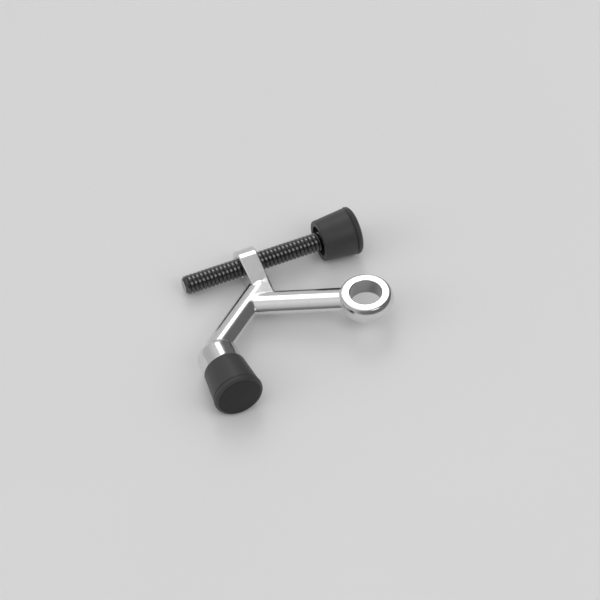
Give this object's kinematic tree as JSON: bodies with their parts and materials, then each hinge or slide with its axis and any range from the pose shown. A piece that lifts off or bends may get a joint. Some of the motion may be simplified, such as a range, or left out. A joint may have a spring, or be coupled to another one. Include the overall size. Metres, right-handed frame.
{
  "type": "hinge pin door stop",
  "caption": "Y-shaped cast door stop with a flat eye for a hinge pin, a fixed rubber tip on one arm and a threaded rod through a lug that carries an adjustable rubber tip.",
  "frame": {"origin": "centre of the hinge-pin bore, on the casting's middle plane", "axes": "+Z along the bore, +X along the adjusting rod from its free end towards its rubber tip, +Y from the eye towards the rod"},
  "size_m": [0.0544, 0.0466, 0.0126],
  "materials": {
    "plated_casting": "bright plated, lightly textured casting",
    "dark_steel": "dark steel thread with a slight oil sheen",
    "tip_rubber": "matte moulded rubber"
  },
  "bodies": {
    "casting": {"cast_body": "plated_casting", "fixed_tip": "tip_rubber"},
    "adjustable_tip": {"rod_tip": "tip_rubber"},
    "rod": {"threaded_rod": "dark_steel"}
  },
  "joints": [
    {"name": "rod_travel", "type": "slide", "parent": "casting", "child": "adjustable_tip", "axis": [1, 0, 0], "range_m": [-0.0166, 0.015]},
    {"name": "rod_turn", "type": "hinge", "parent": "adjustable_tip", "child": "rod", "pos_m": [-0.0223, 0.0232, 0], "axis": [1, 0, 0], "continuous": true}
  ],
  "couplings": [
    {"joint": "rod_turn", "follows": "rod_travel", "rad_per_m": 5936.9}
  ]
}
